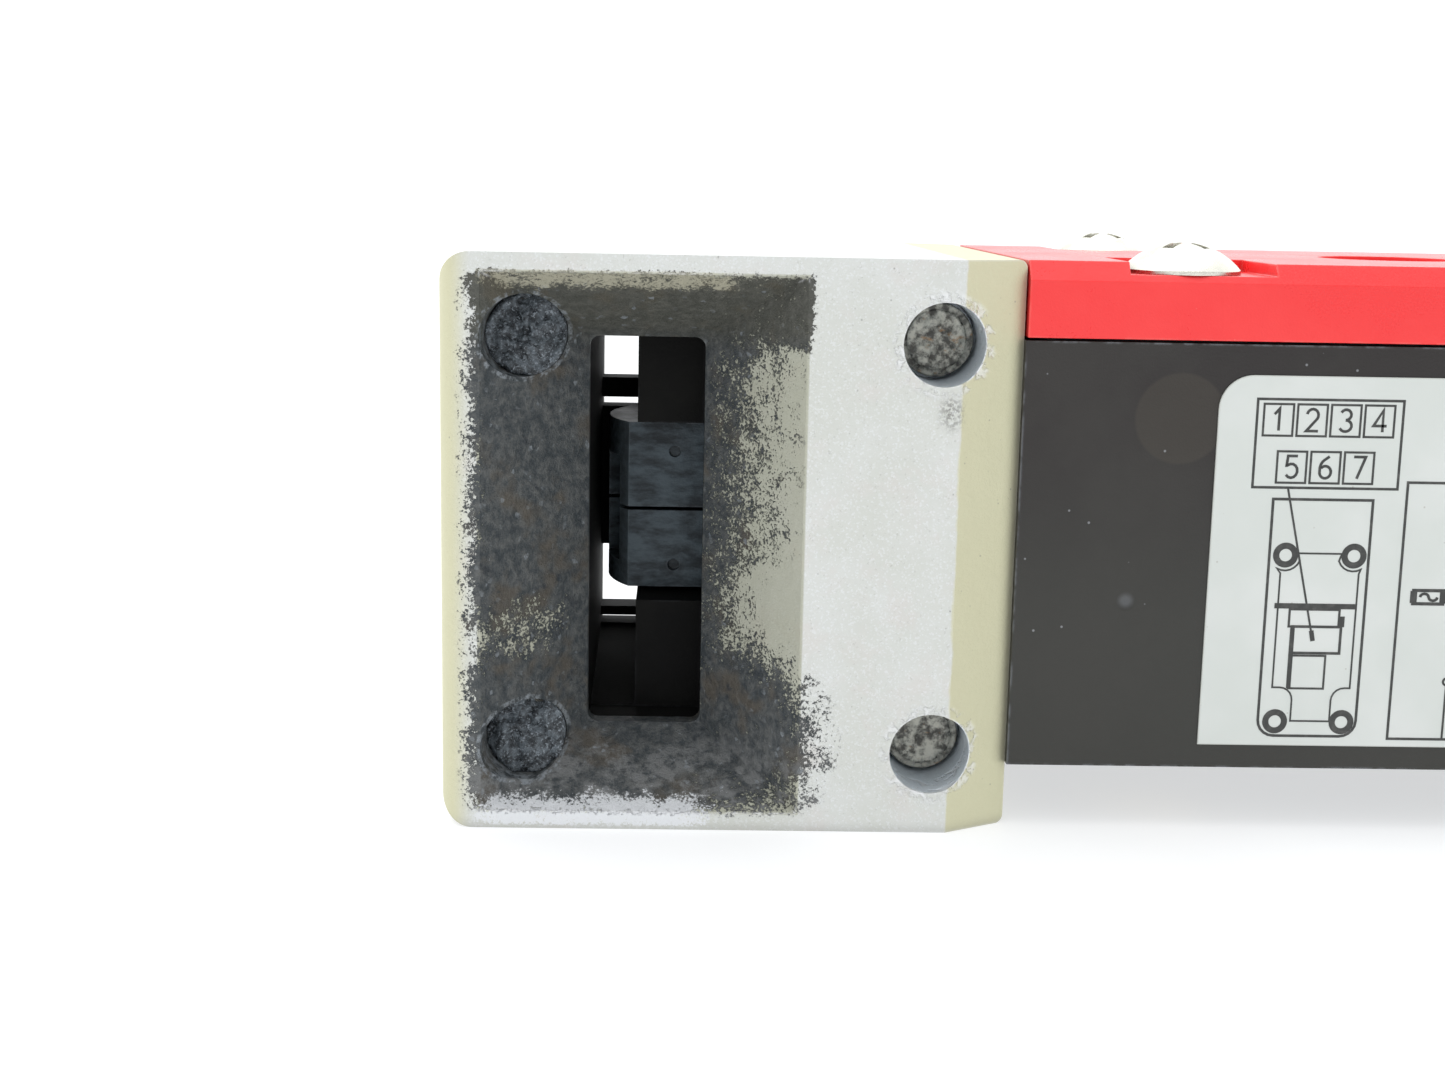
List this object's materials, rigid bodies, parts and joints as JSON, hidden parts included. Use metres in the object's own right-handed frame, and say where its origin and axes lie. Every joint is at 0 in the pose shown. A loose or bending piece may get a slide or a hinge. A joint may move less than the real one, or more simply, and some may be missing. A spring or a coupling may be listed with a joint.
{
  "type": "tongue-operated safety limit switch",
  "caption": "Tongue-operated safety limit switch: silver die-cast guide head with funnel slot and cam rotor, black housing, red screwed lid, label and cable entry.",
  "frame": {"origin": "centre of the footprint, at the level of the guide head's underside", "axes": "+X along the housing from the head's free end to the cable entry, +Z towards the lid, -Y towards the label and the slot shown"},
  "size_m": [0.125, 0.042, 0.0434],
  "materials": {
    "cast_alloy": "fine-grained silver coating over die-cast zinc, worn bright on the edges, greasy round the slot",
    "dark_steel": "oiled steel, dirty",
    "black_plastic": "black moulded guide, greasy",
    "cam_plastic": "blue-black moulded cam, satin",
    "bright_steel": "ground bright",
    "brass": "plain",
    "black_rubber": "matt",
    "housing_plastic": "brown-black glass-filled plastic, semi-gloss",
    "red_plastic": "saturated red, satin gloss",
    "zinc_steel": "zinc plated",
    "label_film": "light grey satin film with dark line art",
    "grey_plastic": "moulded",
    "cream_plastic": "moulded",
    "copper": "copper strip"
  },
  "bodies": {
    "root": {"head_casting": "cast_alloy", "head_rear_plate": "cast_alloy", "head_screws": "dark_steel", "cam_carrier": "black_plastic", "rotor_axle": "bright_steel", "plunger_bush": "brass", "plunger_seal": "black_rubber", "housing": "housing_plastic", "mounting_inserts": "brass", "lid": "red_plastic", "lid_gasket": "black_rubber", "lid_screws": "zinc_steel", "label": "label_film", "contact_base": "grey_plastic", "contact_cover": "cream_plastic", "return_spring": "bright_steel", "spring_stop": "grey_plastic", "nc_fixed_contacts": "brass", "no_fixed_contacts": "brass", "terminal_block": "grey_plastic", "terminal_clamps": "zinc_steel", "terminal_screws": "zinc_steel", "block_screws": "zinc_steel", "earth_strap": "copper"},
    "rotor": {"rotor_upper": "cam_plastic", "rotor_lower": "cam_plastic"},
    "slider": {"plunger": "bright_steel", "contact_slider": "cream_plastic", "nc_bridges": "copper", "no_bridge": "copper", "bridge_springs": "bright_steel"}
  },
  "joints": [
    {"name": "rotor_turn", "type": "hinge", "parent": "root", "child": "rotor", "pos_m": [-0.0398, 0, 0.0214], "axis": [0, 0, -1], "range_deg": [0, 50]},
    {"name": "plunger_slide", "type": "slide", "parent": "root", "child": "slider", "axis": [-1, 0, 0], "range_m": [0, 0.0032]}
  ],
  "couplings": [
    {"joint": "rotor_turn", "follows": "plunger_slide", "rad_per_m": 272.7}
  ]
}
